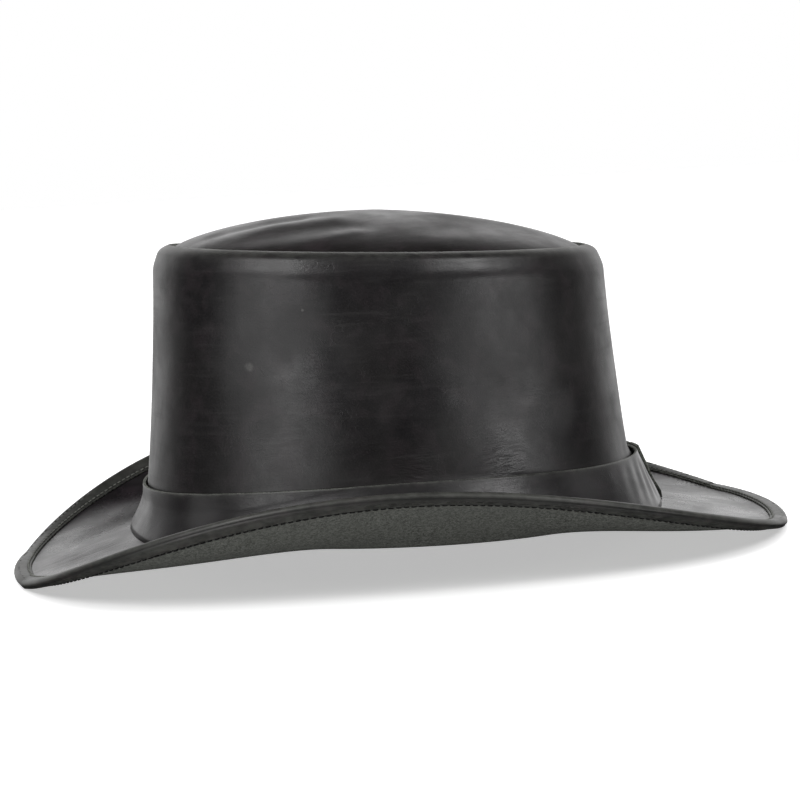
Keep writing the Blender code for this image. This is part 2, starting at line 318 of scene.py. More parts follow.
def opening(angle):
    return oval(angle, OPENING_LENGTH / 2, OPENING_WIDTH / 2, OPENING_CENTRE_Y)


def brim_edge(angle):
    side = np.sin(angle) ** 2
    x = BRIM_WIDTH / 2 * np.sin(angle) * (1 + BRIM_END_FULLNESS * (1 + np.cos(2 * angle)))
    y = BRIM_LENGTH / 2 * np.cos(angle)
    z = (EDGE_TIP_HEIGHT + EDGE_SIDE_RISE * side
         - EDGE_FRONT_LIFT * np.cos(angle) * side / QUARTER_PEAK)
    return x, y, z


def rest_height():
    return BRIM_THICKNESS / 2 + CLEARANCE + BINDING_WALL


def brim(angle, share):
    inner_x, inner_y = opening(angle)
    edge_x, edge_y, edge_z = brim_edge(angle)
    side = np.sin(angle) ** 2
    seat_z = SEAT_HEIGHT - SEAT_LEAN * np.cos(angle) + SEAT_SIDE_LIFT * side
    quarter = np.sin(2 * angle) ** 2
    front = np.cos(angle) * side / QUARTER_PEAK
    across = np.clip(share, 0, 1)
    swell = 4 * across * (1 - across)
    belly = (QUARTER_BELLY * quarter - FRONT_BELLY * front + SIDE_BELLY * side) * swell
    x = inner_x + (edge_x - inner_x) * share
    y = inner_y + (edge_y - inner_y) * share
    z = np.maximum(seat_z + (edge_z - seat_z) * share - belly, rest_height())
    return np.stack(np.broadcast_arrays(x, y, z), axis=-1)


def brim_face(angle, share, distance):
    return brim(angle, share) + np.expand_dims(distance, -1) * normals(brim, angle, share, 1)


def brim_top_height(angle, x, y):
    inner_x, inner_y = opening(angle)
    edge_x, edge_y, _ = brim_edge(angle)
    run_x, run_y = edge_x - inner_x, edge_y - inner_y
    share = ((x - inner_x) * run_x + (y - inner_y) * run_y) / (run_x ** 2 + run_y ** 2)
    upright = normals(brim, angle, share, 1)[..., 2]
    return brim(angle, share)[..., 2] + BRIM_THICKNESS / 2 / upright


def brim_width(angle):
    path = brim(angle[:, None], np.linspace(0, 1, 25)[None, :])
    return np.linalg.norm(np.diff(path, axis=1), axis=-1).sum(axis=1)


def rim_height(angle):
    side = np.sin(angle) ** 2
    return RIM_HEIGHT - RIM_LEAN * np.cos(angle) + RIM_SIDE_LIFT * side


def dent_depth(angle, share):
    depth = 0
    for dent in rows(DENT_COLUMNS, WALL_DENTS):
        turn = (angle / (2 * math.pi) - dent["turn"] + 0.5) % 1 - 0.5
        spread = (turn / dent["turn_span"]) ** 2 + ((share - dent["height"]) / dent["height_span"]) ** 2
        depth = depth + dent["depth"] * np.exp(-spread)
    fade = np.clip(share, 0, 1) * np.clip(1 - share, 0, 1) * 4
    return CROWN_WALL * depth * fade


def foot_reach(angle):
    back = ((1 + np.cos(angle)) / 2) ** FOOT_PULL_POWER
    return FOOT_REACH - FOOT_BACK_PULL * back * (1 + np.sin(angle) ** 2)


def wall(angle, share):
    angle, share = np.broadcast_arrays(np.asarray(angle, float), np.asarray(share, float))
    foot = brim(angle, foot_reach(angle) / brim_width(angle.ravel()).reshape(angle.shape))
    foot_z = brim_top_height(angle, foot[..., 0], foot[..., 1]) + CLEARANCE
    rim_z = rim_height(angle)
    z = foot_z + (rim_z - foot_z) * share

    inside = np.clip(share, 0, 1)
    inset = CROWN_TAPER * (1 - (1 - inside) ** TAPER_EASE) + dent_depth(angle, share)
    below_rim = np.clip(1 - (rim_z - z) / SHOULDER_HEIGHT, 0, 1)
    arc = 1 - np.sqrt(1 - (SHOULDER_FULLNESS * below_rim) ** 2)
    inset = inset + SHOULDER_TURN * arc / (1 - math.sqrt(1 - SHOULDER_FULLNESS ** 2))
    centre_y = CROWN_CENTRE_Y + CROWN_RAKE * inside
    x, y = oval(angle, CROWN_LENGTH / 2 - inset, CROWN_WIDTH / 2 - inset, centre_y)

    base_x, base_y = oval(angle, CROWN_LENGTH / 2, CROWN_WIDTH / 2, CROWN_CENTRE_Y)
    flare_height = FLARE_HEIGHT + FLARE_BACK_LIFT * np.cos(angle)
    ease = FLARE_EASE - FLARE_BACK_EASE * np.cos(angle)
    flare = np.clip(1 - (z - foot_z) / flare_height, 0, None) ** ease
    x = x + flare * (foot[..., 0] - base_x)
    y = y + flare * (foot[..., 1] - base_y)
    return np.stack((x, y, z), axis=-1)


def wall_face(angle, share, distance):
    return wall(angle, share) + np.expand_dims(distance, -1) * normals(wall, angle, share, -1)


def seated(angle, ring):
    ring = ring.copy()
    ring[:, 2] = brim_top_height(angle, ring[:, 0], ring[:, 1]) + CLEARANCE
    return ring


def fold_height(x, y, half_width, half_length):
    height = 0
    for fold in rows(FOLD_COLUMNS, TIP_FOLDS):
        start = np.array((fold["from_x"] * half_width, fold["from_y"] * half_length))
        run = np.array((fold["to_x"] * half_width, fold["to_y"] * half_length)) - start
        along = ((x - start[0]) * run[0] + (y - start[1]) * run[1]) / (run @ run)
        near = np.clip(along, 0, 1)
        away = np.hypot(x - start[0] - near * run[0], y - start[1] - near * run[1])
        height = height + fold["height"] * np.exp(-(away / (fold["width"] * half_width)) ** 2)
    return TIP_FOLD * height


def band_top_height(angle):
    side = np.sin(angle) ** 2
    peak = ((1 + np.cos(angle)) / 2) ** BAND_PEAK_POWER
    return (BAND_TOP_HEIGHT - BAND_BACK_DROP * np.cos(angle) + BAND_SIDE_LIFT * (2 * side - 1)
            + BAND_BACK_PEAK * peak)


def band_offset(turn):
    lap_start = 2 * math.pi + BAND_END_ANGLE - BAND_LAP_ANGLE
    ramp = np.clip((turn - (lap_start - BAND_RAMP_ANGLE)) / BAND_RAMP_ANGLE, 0, 1)
    lap = (BAND_THICKNESS + CLEARANCE) * ramp * ramp * (3 - 2 * ramp)
    gape = BAND_BACK_GAPE * np.exp(-(turn % (2 * math.pi) / BAND_GAPE_ANGLE - 1) ** 2)
    return CLEARANCE + BAND_EASE + lap, gape


def wall_marks(table):
    """Marks on the crown's side, each with its point there."""
    marks = rows(MARK_COLUMNS, table)
    for mark in marks:
        angle = math.radians(mark["turn"])
        foot = wall(angle, 0.0)[2]
        mark["spot"] = wall(angle, (mark["height"] - foot) / (rim_height(angle) - foot))
    return marks


def brim_marks(table):
    """Creases on the brim, each with its point there."""
    marks = rows(CREASE_COLUMNS, table)
    for mark in marks:
        mark["spot"] = brim(math.radians(mark["turn"]), mark["across"])
    return marks


# Mesh making

def wave(seed, angle, share, turns, lifts, count):
    """Smooth seeded relief between -1 and 1 that closes round the hat."""
    source = np.random.default_rng(seed)
    total = 0
    for _ in range(count):
        total = total + np.sin(source.integers(1, turns) * angle + source.uniform(0, 7)
                               + source.uniform(-lifts, lifts) * share)
    return total / count


def path_lengths(points):
    """Running length along axis 0, averaged over axis 1."""
    steps = np.linalg.norm(np.diff(points, axis=0), axis=-1).mean(axis=1)
    return np.concatenate(((0,), np.cumsum(steps)))


def loft(name, rings, zones, materials, wear=None, closed_across=True, closed_round=True, poles=()):
    """Mesh through rings of equal length, with a material number for each step across them.

    The rings' wear, from 0 to 1, is kept as an attribute that the leather's finish reads.
    """
    rings = np.asarray(rings, float)
    count, columns, _ = rings.shape
    vertices = rings.reshape(-1, 3)
    across = np.arange(count if closed_across else count - 1)
    along = np.arange(columns if closed_round else columns - 1)
    low, left = np.meshgrid(across, along, indexing="ij")
    high, right = (low + 1) % count, (left + 1) % columns
    quads = np.stack((low * columns + left, low * columns + right,
                      high * columns + right, high * columns + left), axis=-1).reshape(-1, 4)
    numbers = np.repeat(np.asarray(zones), len(along))

    looped = np.concatenate((rings, rings[:, :1]), axis=1).transpose(1, 0, 2)
    u = path_lengths(looped)
    v = path_lengths(np.concatenate((rings, rings[:1])))
    corners = [np.stack((u[left + right_side], v[low + high_side]), axis=-1)
               for right_side, high_side in ((0, 0), (1, 0), (1, 1), (0, 1))]
    corners = np.stack(corners, axis=2).reshape(-1, 2)

    start, second, third, _ = (vertices[quads[:, corner]] for corner in range(4))
    volume = np.einsum("ij,ij->", start, np.cross(second - start, third - start))
    if volume < 0:
        quads = quads[:, ::-1]
        corners = corners.reshape(-1, 4, 2)[:, ::-1].reshape(-1, 2)

    faces = quads.tolist()
    points = vertices.tolist()
    for ring, point in poles:
        start = ring % count * columns
        points.append(list(point))
        turn = [(start + i, start + (i + 1) % columns) for i in range(columns)]
        flip = (ring == 0) == (volume >= 0)
        for a, b in turn:
            faces.append((b, a, len(points) - 1) if flip else (a, b, len(points) - 1))
        corners = np.concatenate((corners, np.zeros((3 * columns, 2))))
        zone = zones[min(ring % count, len(zones) - 1)]
        numbers = np.concatenate((numbers, np.full(columns, zone)))

    mesh = bpy.data.meshes.new(name)
    mesh.from_pydata(points, [], faces)
    mesh.uv_layers.new(name="leather").data.foreach_set("uv", corners.ravel())
    for material in materials:
        mesh.materials.append(material)
    mesh.polygons.foreach_set("material_index", numbers.astype(np.int32))
    worn = np.repeat(np.zeros(count) if wear is None else np.asarray(wear, float), columns)
    worn = np.concatenate((worn, np.zeros(len(poles))))
    mesh.attributes.new("wear", "FLOAT", "POINT").data.foreach_set("value", worn)
    mesh.shade_smooth()
    mesh.update()
    piece = bpy.data.objects.new(name, mesh)
    bpy.context.scene.collection.objects.link(piece)
    return piece


def dress(piece, slot, *nodes):
    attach(piece, "root")
    if nodes:
        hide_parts(*nodes)


# Finishes

class Nodes:
    """Short calls for building the nodes of a material or of the world."""

    def __init__(self, owner):
        owner.use_nodes = True
        self.owner = owner
        self.tree = owner.node_tree
        self.place = self.tree.nodes.new("ShaderNodeTexCoord")

    def add(self, kind, **values):
        node = self.tree.nodes.new(kind)
        for name, value in values.items():
            if name in node.inputs:
                node.inputs[name].default_value = value
            else:
                setattr(node, name, value)
        return node

    def link(self, source, target):
        self.tree.links.new(source, target)

    def stretched(self, scale):
        node = self.add("ShaderNodeMapping")
        node.inputs["Scale"].default_value = scale
        self.link(self.place.outputs["Object"], node.inputs["Vector"])
        return node.outputs["Vector"]

    def noise(self, scale, detail=4, rough=0.55, vector=None, warp=0.0):
        node = self.add("ShaderNodeTexNoise", Scale=scale, Detail=detail, Roughness=rough,
                        Distortion=warp)
        self.link(vector or self.place.outputs["Object"], node.inputs["Vector"])
        return node.outputs["Fac"]

    def cells(self, scale, feature="F1", vector=None):
        node = self.add("ShaderNodeTexVoronoi", Scale=scale)
        node.feature = feature
        self.link(vector or self.place.outputs["Object"], node.inputs["Vector"])
        return node.outputs["Distance"]

    def span(self, value, low, high, to_low=0.0, to_high=1.0):
        node = self.add("ShaderNodeMapRange")
        self.link(value, node.inputs["Value"])
        ends = {"From Min": low, "From Max": high, "To Min": to_low, "To Max": to_high}
        for name, number in ends.items():
            node.inputs[name].default_value = number
        node.interpolation_type = "SMOOTHSTEP"
        return node.outputs["Result"]

    def attribute(self, name):
        return self.add("ShaderNodeAttribute", attribute_name=name).outputs["Fac"]

    def warped(self, scale, amount):
        """Object coordinates pushed about by noise."""
        push = self.add("ShaderNodeTexNoise", Scale=scale, Detail=2)
        self.link(self.place.outputs["Object"], push.inputs["Vector"])
        node = self.add("ShaderNodeVectorMath", operation="MULTIPLY_ADD")
        self.link(push.outputs["Color"], node.inputs[0])
        node.inputs[1].default_value = (amount,) * 3
        self.link(self.place.outputs["Object"], node.inputs[2])
        return node.outputs["Vector"]

    def near(self, mark):
        """1 at a mark's spot, fading unevenly to 0 at its radius."""
        radius = mark["radius"]
        node = self.add("ShaderNodeVectorMath", operation="DISTANCE")
        self.link(self.warped(BLOT_SCALE, radius * 0.5), node.inputs[0])
        node.inputs[1].default_value = [value + radius * 0.25 for value in mark["spot"]]
        return self.span(node.outputs["Value"], radius * 0.15, radius, 1.0, 0.0)

    def maths(self, operation, first, second):
        node = self.add("ShaderNodeMath", operation=operation)
        for index, value in enumerate((first, second)):
            if isinstance(value, (int, float)):
                node.inputs[index].default_value = value
            else:
                self.link(value, node.inputs[index])
        return node.outputs[0]

    def blend(self, share, low, high):
        node = self.add("ShaderNodeMix")
        node.data_type = "RGBA"
        self.link(share, node.inputs["Factor"])
        for index, colour in ((6, low), (7, high)):
            if isinstance(colour, tuple):
                node.inputs[index].default_value = (*colour, 1)
            else:
                self.link(colour, node.inputs[index])
        return node.outputs[2]

    def bump(self, height, distance, strength=1.0, below=None):
        node = self.add("ShaderNodeBump", Distance=distance, Strength=strength)
        self.link(height, node.inputs["Height"])
        if below:
            self.link(below, node.inputs["Normal"])
        return node.outputs["Normal"]

    def finish(self, colour, roughness, normal, shine):
        shader = self.tree.nodes["Principled BSDF"]
        self.link(colour, shader.inputs["Base Color"])
        self.link(roughness, shader.inputs["Roughness"])
        self.link(normal, shader.inputs["Normal"])
        shader.inputs["Specular IOR Level"].default_value = shine
        return self.owner


def new_nodes(name):
    """Nodes of a new material."""
    return Nodes(bpy.data.materials.new(name))


def leather(name, dark, light, roughness, streak=WALL_STREAK,
            painted_highlights=(), wrinkles=(), ripple=WALL_RIPPLE, spots=()):
    """Waxed leather with cloudy colour, rub lines, hairline cracks, specks, wear and fine grain.

    Painted highlights, wrinkles and spots are lists of marks. The painted highlights lighten the colour
    and roughen the finish where highlights fall.
    """
    n = new_nodes(name)
    pale = tuple(2.2 * value + 0.006 for value in light)
    warm = tuple(factor * value + 0.002 for factor, value in zip(WARM_TINT, light))
    cloud = n.noise(CLOUD_SCALE, 3, 0.55, warp=0.6)
    patch = n.noise(PATCH_SCALE, 4, 0.6, warp=0.3)
    lines = n.noise(1.0, 5, 0.65, n.stretched(streak), warp=0.3)
    rubbed = n.span(lines, 0.50, 0.80)
    web = n.cells(CRACK_SCALE, "DISTANCE_TO_EDGE", n.warped(110, 0.010))
    cracked = n.span(n.noise(CRACK_PATCH_SCALE, 3, 0.6), 0.54, 0.66)
    cracks = n.maths("MULTIPLY", n.span(web, 0.0, 0.05, 1.0, 0.0), cracked)
    specks = n.maths("MULTIPLY", n.span(n.cells(SPECK_SCALE), 0.0, 0.07, 1.0, 0.0),
                     n.span(patch, 0.60, 0.72))

    tone = n.blend(n.span(cloud, 0.32, 0.68), dark, light)
    tone = n.blend(n.span(n.noise(TINT_SCALE, 4, 0.6, warp=0.6), 0.45, 0.68, 0.0, 0.5), tone, warm)
    tone = n.blend(n.maths("MULTIPLY", rubbed, 0.30), tone, pale)
    tone = n.blend(n.maths("MULTIPLY", cracks, 0.16), tone, pale)
    tone = n.blend(n.maths("MULTIPLY", specks, 0.45), tone, SPECK_TONE)
    gloss = n.maths("ADD", n.span(cloud, 0.25, 0.75, roughness - 0.05, roughness + 0.06),
                    n.span(patch, 0.3, 0.7, -0.05, 0.05))
    gloss = n.maths("ADD", gloss, n.maths("MULTIPLY", rubbed, 0.06))
    # Painted highlight: each patch lightens the colour and roughens the finish where a highlight falls
    for mark in painted_highlights:
        painted_highlight = n.maths("MULTIPLY", n.near(mark), mark["strength"])
        tone = n.blend(painted_highlight, tone, PAINTED_HIGHLIGHT_TONE)
        gloss = n.maths("ADD", gloss, n.maths("MULTIPLY", painted_highlight, 0.4))
    for mark in spots:
        mottle = n.span(n.noise(SPOT_SCALE, 3, 0.6), 0.3, 0.7, 0.2, 0.8)
        fleck = n.maths("MULTIPLY", n.maths("MULTIPLY", n.near(mark), mottle), mark["strength"])
        tone = n.blend(fleck, tone, SPOT_TONE)
    scuffs = n.span(n.noise(RUB_SCALE, 5, 0.7), 0.34, 0.66, 0.25, 1.0)
    worn = n.maths("MULTIPLY", n.attribute("wear"), scuffs)
    tone = n.blend(n.maths("MULTIPLY", worn, 0.75), tone, WORN_TONE)
    gloss = n.maths("ADD", gloss, n.maths("MULTIPLY", worn, 0.12))

    relief = n.bump(n.noise(SWELL_SCALE, 3, 0.5), 0.0010, 0.30)
    relief = n.bump(cloud, 0.0022, 0.30, relief)
    relief = n.bump(lines, 0.00014, 0.45, relief)
    relief = n.bump(cracks, 0.00010, 0.22, relief)
    gritty = n.span(n.noise(MOTTLE_SCALE, 3, 0.5, warp=0.5), 0.45, 0.62, 0.15, 1.0)
    grit = n.maths("MULTIPLY", n.noise(GRIT_SCALE, 5, 0.75), gritty)
    relief = n.bump(grit, 0.00022, 0.16, relief)
    relief = n.bump(n.noise(PORE_SCALE, 4, 0.65), 0.00012, 0.35, relief)
    for mark in wrinkles:
        ripples = n.noise(1.0, 3, 0.5, n.stretched(ripple), warp=1.1)
        ripples = n.maths("MULTIPLY", ripples, n.near(mark))
        relief = n.bump(ripples, 0.0009, mark["strength"], relief)
    return n.finish(tone, gloss, relief, LEATHER_SHINE)


def suede(name, dark, light):
    """The flesh side: short brushed nap, mottled and matt."""
    n = new_nodes(name)
    nap = n.noise(1500, 3, 0.6)
    mottle = n.noise(700, 4, 0.7, warp=0.5)
    both = n.maths("ADD", n.maths("MULTIPLY", nap, 0.5), n.maths("MULTIPLY", mottle, 0.5))
    tone = n.blend(n.span(both, 0.38, 0.62), dark, light)
    shade = tuple(0.6 * value for value in light)
    tone = n.blend(n.span(n.noise(26, 4, 0.6), 0.35, 0.65, 0.0, 0.4), tone, shade)
    relief = n.bump(both, 0.0005, 0.6)
    return n.finish(tone, n.span(nap, 0.3, 0.7, 0.88, 0.98), relief, shine=0.15)


def raw_edge(name, dark, light):
    """Cut edge of the leather: pale, fibrous and speckled, with the black finish worn thin."""
    n = new_nodes(name)
    fibres = n.noise(1300, 5, 0.75)
    patch = n.noise(130, 4, 0.6)
    tone = n.blend(n.span(fibres, 0.38, 0.62), dark, light)
    tone = n.blend(n.span(patch, 0.5, 0.7), tone, dark)
    gloss = n.span(fibres, 0.3, 0.7, 0.6, 0.85)
    return n.finish(tone, gloss, n.bump(fibres, 0.0002, 0.9), shine=0.3)


def thread(name, dark, light):
    """Waxed thread with its twist."""
    n = new_nodes(name)
    twist = n.noise(2600, 3, 0.6)
    tone = n.blend(n.span(twist, 0.35, 0.65), dark, light)
    gloss = n.span(twist, 0.3, 0.7, 0.5, 0.7)
    return n.finish(tone, gloss, n.bump(twist, 0.0001, 0.8), shine=0.4)


# Pieces

def shares_in_steps(stops, counts):
    """Shares from the first stop to the last, with a count of steps between each pair."""
    parts = [np.linspace(a, b, count, endpoint=False) for a, b, count in zip(stops, stops[1:], counts)]
    return np.concatenate(parts + [np.array((stops[-1],))])


def zone_list(*runs):
    return [number for number, count in runs for _ in range(count)]


def build_crown_wall(grain_side, flesh_side, cut):
    angle = np.linspace(0, 2 * math.pi, WALL_COLUMNS, endpoint=False)
    height = RIM_HEIGHT - SEAT_HEIGHT
    shoulder = 1 - SHOULDER_HEIGHT / height
    upper = shares_in_steps((0, 0.22, shoulder, 1), (22, 52, 20))

    def relief(share):
        fade = min(1, 6 * (1 - share)) * min(1, 6 * share)
        return WALL_RELIEF * wave(3, angle, share, 14, 30, 9) * fade

    rim = np.clip((upper - shoulder) / (1 - shoulder), 0, 1)
    corner = CORNER_BULGE * np.exp(-((rim - CORNER_PLACE) / CORNER_SPAN) ** 2)
    outer = [wall_face(angle, share, relief(share) + bulge) for share, bulge in zip(upper, corner)]
    lower = upper[::-3]
    inner = [wall_face(angle, share, np.full_like(angle, -CROWN_WALL)) for share in lower]
    inner[-1] = seated(angle, inner[-1])
    rim_out, rim_in = outer[-1], inner[0]
    fray = RIM_ROUGHNESS * (0.6 * wave(11, angle, 0, 150, 1, 14) + wave(12, angle, 0, 420, 1, 16))
    edge = []
    for across in (0.12, 0.38, 0.62, 0.88):
        ring = rim_out + (rim_in - rim_out) * across
        ring[:, 2] += EDGE_ROUND * (4 * across * (1 - across)) ** 0.6 + fray * (1.4 - across)
        edge.append(ring)
    outer[-1][:, 2] += fray * 0.6
    rings = outer + edge + inner
    zones = zone_list((GRAIN_SIDE, len(outer) - 1), (CUT, len(edge) + 1),
                      (FLESH_SIDE, len(inner) - 1), (CUT, 1))
    wear = np.concatenate((0.8 * rim ** 6, np.ones(len(edge)), np.zeros(len(inner))))
    return loft("crown_wall_leather", rings, zones, (grain_side, flesh_side, cut), wear)


def build_crown_tip(grain_side, flesh_side):
    angle = np.linspace(0, 2 * math.pi, TIP_COLUMNS, endpoint=False)
    height = RIM_HEIGHT - SEAT_HEIGHT
    margin_shares = np.linspace(1 - 0.6 * SHOULDER_HEIGHT / height, 1, 7)
    skins = []
    for skin, dome_count in ((0, 62), (1, 26)):
        depth = CROWN_WALL + CLEARANCE + skin * TIP_THICKNESS
        margin = [wall_face(angle, share, np.full_like(angle, -depth)) for share in margin_shares]
        rim = margin[-1]
        centre_y = CROWN_CENTRE_Y + CROWN_RAKE
        half_length = (rim[:, 1].max() - rim[:, 1].min()) / 2
        half_width = (rim[:, 0].max() - rim[:, 0].min()) / 2
        rings = list(margin)
        for row in np.sin(np.linspace(math.pi / 2, 0.02, dome_count))[1:]:
            x = rim[:, 0] * row
            y = centre_y + (rim[:, 1] - centre_y) * row
            level = RIM_HEIGHT + (rim[:, 2] - RIM_HEIGHT) * row - depth * (1 - row ** 2)
            bulge = (TIP_RISE + CROWN_WALL) * (1 - row ** 2) ** TIP_EASE
            folds = fold_height(x, y - centre_y, half_width, half_length) * (1 - row ** 4)
            rings.append(np.stack((x, y, level + bulge + folds), axis=-1))
        skins.append(rings)
    upper, under = skins
    rings = upper[::-1] + under
    zones = zone_list((GRAIN_SIDE, len(upper)), (FLESH_SIDE, len(under) - 1))
    poles = ((0, rings[0].mean(axis=0)), (len(rings) - 1, rings[-1].mean(axis=0)))
    materials = (grain_side, flesh_side)
    return loft("crown_tip_leather", rings, zones, materials, closed_across=False, poles=poles)


def build_brim(grain_side, flesh_side, cut):
    angle = np.linspace(0, 2 * math.pi, BRIM_COLUMNS, endpoint=False)
    upper = np.concatenate((np.linspace(0, 0.9, 46), np.linspace(0.92, 1, 6)))

    def relief(share):
        return BRIM_RELIEF * wave(21, angle, share, 22, 14, 8) * min(1, 8 * (1 - share))

    top = [brim_face(angle, share, BRIM_THICKNESS / 2 + relief(share)) for share in upper]
    under = [brim_face(angle, share, -BRIM_THICKNESS / 2 + 0 * angle) for share in upper[::-1]]
    inner = [under[-1] + (top[0] - under[-1]) * across for across in (0.33, 0.67)]
    rings = top + under + inner
    zones = zone_list((GRAIN_SIDE, len(top) - 1), (CUT, 1), (FLESH_SIDE, len(under) - 1),
                      (CUT, len(inner) + 1))
    return loft("brim_leather", rings, zones, (grain_side, flesh_side, cut))


def brim_edge_frame(angle):
    """The brim's edge with its outward and upward directions."""
    edge = brim(angle, np.ones_like(angle))
    up = normals(brim, angle, 1 - STEP, 1)
    along = brim(angle + STEP, 1.0) - brim(angle - STEP, 1.0)
    out = np.cross(up, along)
    return edge, out / np.linalg.norm(out, axis=-1, keepdims=True), up


def binding_sizes():
    inner_half = BRIM_THICKNESS / 2 + CLEARANCE
    return inner_half, inner_half + BINDING_WALL


def pressed(row):
    """How far the binding's inner margin is pressed down, at a share of its width from the fold."""
    return PRESS_DEPTH * max(0, (row - PRESS_START) / (1 - PRESS_START)) ** 2


def stitch_line(angle, side):
    """Path of the stitches' middle, over the brim with side 1 and under it with -1, and its share."""
    share = 1 - STITCH_ROW * BINDING_WIDTH / brim_width(angle)
    height = binding_sizes()[1] - pressed(STITCH_ROW) - STITCH_SEAT + STITCH_LIFT
    return brim_face(angle, share, side * height + 0 * angle), share


def stitch_counts(side):
    """Angles round the brim and the number of stitches up to each."""
    angle = np.linspace(0, 2 * math.pi, 4000)
    length = path_lengths(stitch_line(angle, side)[0][:, None, :])
    return angle, length * round(length[-1] / STITCH_PITCH) / length[-1]


def build_binding(grain_side, cut):
    angle = np.linspace(0, 2 * math.pi, BINDING_COLUMNS, endpoint=False)
    inner_half, outer_half = binding_sizes()
    width = brim_width(angle)
    edge, out, up = brim_edge_frame(angle)
    pucker = BINDING_RELIEF * wave(31, angle, 0, 300, 1, 18)
    joint = BINDING_JOINT_DEPTH * np.exp(-((angle - BINDING_JOINT_ANGLE) / BINDING_JOINT_SPAN) ** 2)

    def leg(side, row, half, relief):
        between = 0.5 - 0.5 * np.cos(2 * math.pi * np.interp(angle, *stitch_counts(side)))
        distance = half - pressed(row) + relief
        if half == outer_half:
            seam = math.exp(-((row - STITCH_ROW) / STITCH_SPAN) ** 2)
            distance = distance - (STITCH_SEAT + STITCH_PULL * between) * seam - joint
        reach = row * BINDING_WIDTH + (STITCH_SCALLOP * between if row > 0.99 else 0)
        return brim_face(angle, 1 - reach / width, side * distance)

    legs = np.concatenate((np.linspace(1, PRESS_START, 7), np.linspace(PRESS_START, 0.1, 5)[1:]))
    turns = np.linspace(-90, 90, 21)
    rings = [leg(-1, row, outer_half, pucker) for row in legs]
    for turn in turns:
        bend = math.radians(turn)
        groove = GROOVE_DEPTH * math.exp(-((turn - GROOVE_TURN) / GROOVE_SPAN) ** 2)
        reach = (outer_half - groove) * math.cos(bend) - BINDING_ROLL - joint[:, None]
        lift = (outer_half - groove + 0.5 * pucker[:, None]) * math.sin(bend)
        rings.append(edge + out * reach + up * lift)
    rings += [leg(1, row, outer_half, pucker) for row in legs[::-1]]
    count = len(rings)
    rings += [leg(1, row, inner_half, 0 * angle) for row in (1.004, 0.97, 0.8, 0.5, 0.2)]
    for side in (1, -1):
        rings.append(edge + out * CLEARANCE + up * side * inner_half)
    rings += [leg(-1, row, inner_half, 0 * angle) for row in (0.2, 0.5, 0.8, 0.97, 1.004)]
    cut_edge = 1
    zones = zone_list((GRAIN_SIDE, count - 1), (cut_edge, 1),
                      (GRAIN_SIDE, len(rings) - count - 1), (cut_edge, 1))
    wear = np.zeros(len(rings))
    wear[:len(legs)] = 0.55 + 0.45 * legs ** 12
    wear[len(legs):len(legs) + len(turns)] = 0.45 * (1 - np.exp(-((turns - GROOVE_TURN) / 24) ** 2))
    wear[len(legs) + len(turns):count] = 0.35 + 0.45 * legs[::-1] ** 12
    return loft("binding_leather", rings, zones, (grain_side, cut), wear)


def build_band(grain_side, flesh_side, cut):
    start = BAND_END_ANGLE - BAND_LAP_ANGLE
    turn = np.linspace(start, 2 * math.pi + BAND_END_ANGLE, BAND_COLUMNS)
    offset, gape = band_offset(turn)
    gape = gape + FRONT_GAPE * np.exp(-((turn - FRONT_GAPE_ANGLE) / FRONT_GAPE_SPAN) ** 2)
    foot = wall(turn, 0.0)[:, 2]
    top_share = (band_top_height(turn) - foot) / (rim_height(turn) - foot)
    rise = np.linspace(0, 1, 26)
    crease = np.exp(-((turn % (2 * math.pi) - BACK_CREASE_ANGLE) / BACK_CREASE_SPAN) ** 2)

    def skin(depth, steps):
        rings = []
        for step in steps:
            share = top_share * step
            fold = (BACK_CREASE * crease * np.sin(BACK_CREASE_WAVES * turn + 9 * step)
                    * 4 * step * (1 - step))
            fold = fold + BAND_RELIEF * wave(41, turn, step, 26, 8, 8)
            ring = wall_face(turn, share, offset + gape * step ** 3 + depth + fold * min(1, 5 * step))
            rings.append(ring)
        foot_ring = 0 if steps[0] == 0 else -1
        rings[foot_ring] = seated(turn, rings[foot_ring])
        return rings

    outer = skin(BAND_THICKNESS, rise)
    inner = skin(0, rise[::-2])
    top = []
    for across in (0.2, 0.5, 0.8):
        ring = outer[-1] + (inner[0] - outer[-1]) * across
        ring[:, 2] += 0.6 * EDGE_ROUND * 4 * across * (1 - across)
        top.append(ring)
    rings = outer + top + inner
    zones = zone_list((GRAIN_SIDE, len(outer) - 1), (CUT, len(top) + 1),
                      (FLESH_SIDE, len(inner) - 1), (CUT, 1))
    wear = np.zeros(len(rings))
    wear[:len(rise)] = 0.7 * rise ** 24 + 0.25 * (1 - rise) ** 12
    materials = (grain_side, flesh_side, cut)
    piece = loft("band_leather", rings, zones, materials, wear, closed_round=False)
    cap_ends(piece, len(rings), len(turn))
    return piece


def cap_ends(piece, count, columns):
    """Close the two cut ends of a strip."""
    mesh = piece.data
    points = [tuple(v.co) for v in mesh.vertices]
    faces = [tuple(p.vertices) for p in mesh.polygons]
    numbers = [p.material_index for p in mesh.polygons]
    corners = np.zeros(len(mesh.loops) * 2)
    mesh.uv_layers[0].data.foreach_get("uv", corners)
    added = 0
    for column, flip in ((0, False), (columns - 1, True)):
        for row in range(1, count // 2):
            quad = [row * columns + column, (row - 1) * columns + column,
                    (count - row) % count * columns + column, (count - 1 - row) * columns + column]
            if len(set(quad)) == 4:
                faces.append(tuple(quad[::-1] if flip else quad))
                numbers.append(CUT)
                added += 4
    fresh = bpy.data.meshes.new(mesh.name + "_capped")
    fresh.from_pydata(points, [], faces)
    corners = np.concatenate((corners, np.zeros(added * 2)))
    fresh.uv_layers.new(name="leather").data.foreach_set("uv", corners)
    for material in mesh.materials:
        fresh.materials.append(material)
    fresh.polygons.foreach_set("material_index", np.array(numbers, np.int32))
    worn = np.zeros(len(mesh.vertices))
    mesh.attributes["wear"].data.foreach_get("value", worn)
    fresh.attributes.new("wear", "FLOAT", "POINT").data.foreach_set("value", worn)
    fresh.shade_smooth()
    fresh.update()
    piece.data = fresh


